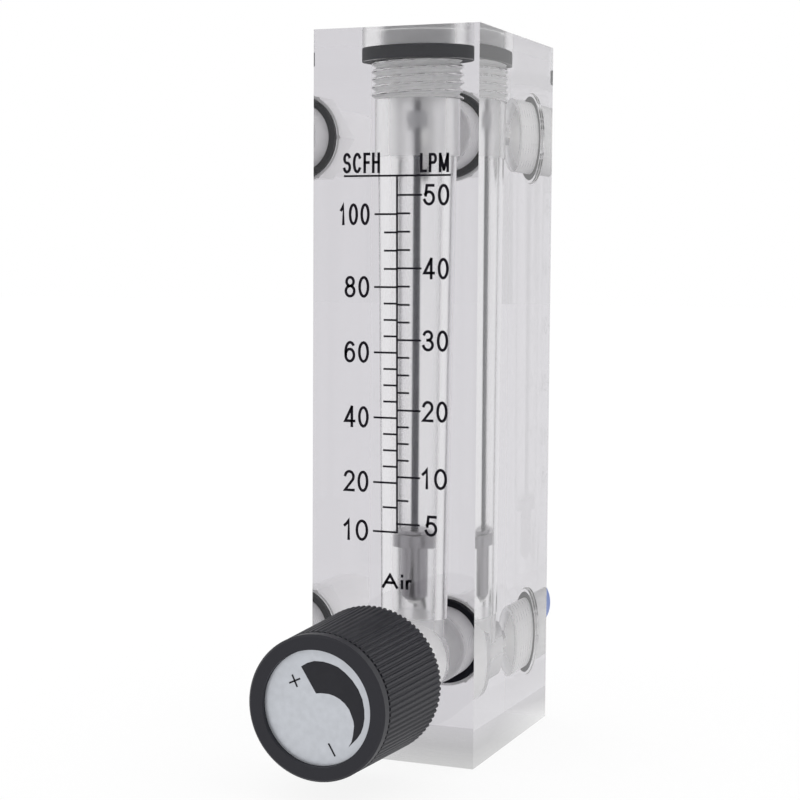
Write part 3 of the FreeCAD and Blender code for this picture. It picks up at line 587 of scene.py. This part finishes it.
def make_disc_print():
    shapes = [CRESCENT, stroke(*MINUS)]
    for turn in (PLUS_TILT, PLUS_TILT + 90):
        arm = Vector((math.cos(math.radians(turn)), math.sin(math.radians(turn)))) * PLUS_REACH
        shapes.append(stroke(Vector(PLUS) - arm, Vector(PLUS) + arm))
    pieces = []
    for outline in shapes:
        piece = flat_shape("mark", outline)
        piece.data.transform(Matrix.Translation(Vector((0, DISC_FACE_Y - FRONT_Y, VALVE_Z)) * MM))
        pieces.append(piece)
    finish(join("disc_print", pieces), "knob", "black_plastic", ink("disc_ink", (0.03, 0.03, 0.035)))


# Materials

ACRYLIC_IOR = 1.49
ACRYLIC_DENSITY = 9.6
ACRYLIC_TINT = (0.044, 0.0, 0.11, 1)
GRAIN_SCALE = 900.0
GRAIN_RELIEF = 0.02
GRAIN_DEPTH = 0.0002


def new_material(name):
    material = bpy.data.materials.new(name)
    material.use_nodes = True
    tree = material.node_tree.nodes
    return material, tree, material.node_tree.links, tree["Principled BSDF"]


def acrylic():
    material, tree, links, shader = new_material("clear_acrylic")
    shader.inputs["Base Color"].default_value = (0.96, 0.96, 0.96, 1)
    shader.inputs["Roughness"].default_value = 0
    shader.inputs["IOR"].default_value = ACRYLIC_IOR
    shader.inputs["Transmission Weight"].default_value = 1
    matt = tree.new("ShaderNodeAttribute")
    matt.attribute_name = "frost"
    links.new(matt.outputs["Fac"], shader.inputs["Roughness"])
    volume = tree.new("ShaderNodeVolumeAbsorption")
    volume.inputs["Color"].default_value = ACRYLIC_TINT
    volume.inputs["Density"].default_value = ACRYLIC_DENSITY
    links.new(volume.outputs["Volume"], tree["Material Output"].inputs["Volume"])
    return material


def speckled(name, colour, roughness, metallic=0.0, grain=0.12, painted_glow=0.0, shine=0.5):
    """A plain finish with a fine grain in its colour and relief, and a painted glow: an even emission that
    stands in for light falling on it.
    """
    material, tree, links, shader = new_material(name)
    where = tree.new("ShaderNodeTexCoord")
    noise = tree.new("ShaderNodeTexNoise")
    noise.inputs["Scale"].default_value = GRAIN_SCALE
    noise.inputs["Detail"].default_value = 4
    links.new(where.outputs["Object"], noise.inputs["Vector"])
    ramp = tree.new("ShaderNodeMix")
    ramp.data_type = "RGBA"
    ramp.inputs["A"].default_value = (*[c * (1 - grain) for c in colour], 1)
    ramp.inputs["B"].default_value = (*[min(1, c * (1 + grain)) for c in colour], 1)
    links.new(noise.outputs["Fac"], ramp.inputs["Factor"])
    links.new(ramp.outputs["Result"], shader.inputs["Base Color"])
    relief = tree.new("ShaderNodeBump")
    relief.inputs["Strength"].default_value = GRAIN_RELIEF
    relief.inputs["Distance"].default_value = GRAIN_DEPTH
    links.new(noise.outputs["Fac"], relief.inputs["Height"])
    links.new(relief.outputs["Normal"], shader.inputs["Normal"])
    shader.inputs["Roughness"].default_value = roughness
    shader.inputs["Metallic"].default_value = metallic
    shader.inputs["Specular IOR Level"].default_value = shine
    shader.inputs["Emission Color"].default_value = (1, 1, 1, 1)
    shader.inputs["Emission Strength"].default_value = painted_glow
    return material


def ink(name, colour):
    return speckled(name, colour, 0.8, shine=0.15)


def finish(piece, body, slot, material, *replaced):
    """Give a new piece its material and body, and hide the nodes that it replaces. The slot name is not used.
    """
    piece.data.materials.clear()
    piece.data.materials.append(material)
    if replaced:
        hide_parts(*replaced)
    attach(piece, body)


def dress(material, *names):
    """Give shown nodes a finish. Those that a piece replaces aren't shown and need none."""
    for name in names:
        for slot in nodes[name].material_slots:
            slot.material = material
        smooth(nodes[name].data)


# Painted light: the frosted, white and plug plastics glow a little, so that they look more brightly lit than
# the scene's light makes them.
PLASTIC = {
    "frosted": speckled("frosted_plastic", (0.86, 0.86, 0.85), 0.3, grain=0.05, painted_glow=0.2),
    "white": speckled("white_plastic", (0.9, 0.9, 0.89), 0.35, grain=0.03, painted_glow=0.13),
    "plug": speckled("plug_plastic", (0.8, 0.8, 0.8), 0.3, grain=0.1, painted_glow=0.04),
    # Painted shade: a darker copy of the plug plastic, for the plug's head.
    "plug_head": speckled("plug_head_painted_shade", (0.48, 0.48, 0.49), 0.35, grain=0.15, painted_glow=0.0),
    "rubber": speckled("black_rubber", (0.004, 0.005, 0.012), 0.6, shine=0.3),
}


def dress_nodes():
    steel = speckled("ground_steel", (0.07, 0.07, 0.085), 0.25, metallic=1.0)
    dress(PLASTIC["frosted"], "valve_cartridge")
    dress(PLASTIC["white"], "upper_fitting_body", "lower_fitting_body", "upper_collet", "lower_collet",
          "upper_locking_clip", "cartridge_gasket", "rod_end_stop")
    dress(PLASTIC["rubber"], "stem_o_ring", "upper_tube_o_ring", "lower_tube_o_ring")
    dress(steel, "guide_rod", "valve_stem", "knob_screw")
    dress(speckled("pale_steel", (0.5, 0.5, 0.52), 0.5, metallic=0.4), "rod_top_stop")
    dress(speckled("float_metal", (0.34, 0.33, 0.35), 0.3, metallic=1.0), "float")
    dress(speckled("knob_plastic", (0.013, 0.013, 0.019), 0.5, shine=0.35), "knob")
    dress(speckled("silver_label", (0.55, 0.57, 0.61), 0.35, metallic=0.6), "knob_disc")
    dress(speckled("blue_plastic", (0.10, 0.17, 0.45), 0.35), "lower_locking_clip")


# Stage, light and camera. The floor glows so that it is as white as the surround. Under the block its glow
# is turned down into a painted shadow, darkest toward the front right corner.

FLOOR_SIZE = 6
FLOOR_COLOUR = 0.15
# Painted shadow under the block: its darkest glow, the open floor's glow, and the reach of its ramp.
SHADOW_UNDER_BLOCK = 0.19
OPEN_FLOOR = 0.86
SHADOW_REACH = 0.55
CAMERA_SPOT = (119.24, -309.53, 86.30)
CAMERA_YAW = 22.172
CAMERA_PITCH = 4.394
CAMERA_ROLL = 0.350
CAMERA_LENS = 83.22
CAMERA_SENSOR = 36.0
CAMERA_CLIP = 0.01
DARK_FROM = 0.84
DARK_TO = 0.98
WORLD_BRIGHT = 1.0
WORLD_DARK = 0.1
LIGHT_BOUNCES = 32


def make_stage():
    bpy.ops.mesh.primitive_plane_add(size=FLOOR_SIZE)
    floor = bpy.context.object
    floor.name = "floor"
    material, tree, links, shader = new_material("pale_floor")
    shader.inputs["Base Color"].default_value = (FLOOR_COLOUR, FLOOR_COLOUR, FLOOR_COLOUR, 1)
    shader.inputs["Roughness"].default_value = 0.9
    shader.inputs["Specular IOR Level"].default_value = 0
    shader.inputs["Emission Color"].default_value = (1, 1, 1, 1)

    def worked_out(operation, *values):
        node = tree.new("ShaderNodeMath")
        node.operation = operation
        for socket, value in zip(node.inputs, values):
            if isinstance(value, float):
                socket.default_value = value
            else:
                links.new(value, socket)
        return node.outputs["Value"]

    # Painted shadow: inside the block's footprint the floor's glow is turned down, most toward the front
    # right corner; outside it the floor is evenly bright.
    place = tree.new("ShaderNodeTexCoord")
    apart = tree.new("ShaderNodeSeparateXYZ")
    links.new(place.outputs["Object"], apart.inputs["Vector"])
    across = worked_out("DIVIDE", apart.outputs["X"], BLOCK_HIGH.x * MM)
    along = worked_out("DIVIDE", apart.outputs["Y"], BACK_Y * MM)
    farthest = worked_out("MAXIMUM", worked_out("ABSOLUTE", across), worked_out("ABSOLUTE", along))
    outside = worked_out("GREATER_THAN", farthest, 1.0)
    away = worked_out("MAXIMUM", worked_out("MULTIPLY", across, -1.0), along)
    under = worked_out("MULTIPLY", away, SHADOW_REACH)
    shade = tree.new("ShaderNodeMapRange")
    shade.inputs["From Min"].default_value = -1.0
    shade.inputs["From Max"].default_value = 1.0
    shade.inputs["To Min"].default_value = SHADOW_UNDER_BLOCK
    shade.inputs["To Max"].default_value = OPEN_FLOOR
    links.new(worked_out("MAXIMUM", under, outside), shade.inputs["Value"])
    links.new(shade.outputs["Result"], shader.inputs["Emission Strength"])
    floor.data.materials.append(material)


def make_world():
    """White all round, but for a dark patch on the camera's side."""
    world = bpy.data.worlds.new("studio")
    bpy.context.scene.world = world
    world.use_nodes = True
    tree = world.node_tree.nodes
    links = world.node_tree.links
    where = tree.new("ShaderNodeTexCoord")
    toward = tree.new("ShaderNodeVectorMath")
    toward.operation = "DOT_PRODUCT"
    toward.inputs[1].default_value = Vector((CAMERA_SPOT[0], CAMERA_SPOT[1], 0)).normalized()
    links.new(where.outputs["Generated"], toward.inputs[0])
    fade = tree.new("ShaderNodeMapRange")
    fade.interpolation_type = "SMOOTHSTEP"
    fade.inputs["From Min"].default_value = DARK_FROM
    fade.inputs["From Max"].default_value = DARK_TO
    fade.inputs["To Min"].default_value = WORLD_BRIGHT
    fade.inputs["To Max"].default_value = WORLD_DARK
    links.new(toward.outputs["Value"], fade.inputs["Value"])
    links.new(fade.outputs["Result"], tree["Background"].inputs["Strength"])
    tree["Background"].inputs["Color"].default_value = (1, 1, 1, 1)


def make_camera():
    data = bpy.data.cameras.new("camera")
    data.lens = CAMERA_LENS
    data.sensor_width = CAMERA_SENSOR
    data.clip_start = CAMERA_CLIP
    camera = bpy.data.objects.new("camera", data)
    bpy.context.scene.collection.objects.link(camera)
    turn = Matrix.Rotation(math.radians(CAMERA_YAW), 4, "Z")
    turn @= Matrix.Rotation(math.radians(90 - CAMERA_PITCH), 4, "X")
    turn @= Matrix.Rotation(math.radians(CAMERA_ROLL), 4, "Z")
    camera.matrix_world = Matrix.Translation(Vector(CAMERA_SPOT) * MM) @ turn
    scene = bpy.context.scene
    scene.camera = camera
    scene.view_settings.view_transform = "Standard"
    scene.cycles.max_bounces = LIGHT_BOUNCES
    scene.cycles.transmission_bounces = LIGHT_BOUNCES


make_camera()
make_stage()
make_world()
make_block()
make_plug()
make_rings()
make_scale()
make_disc_print()
dress_nodes()
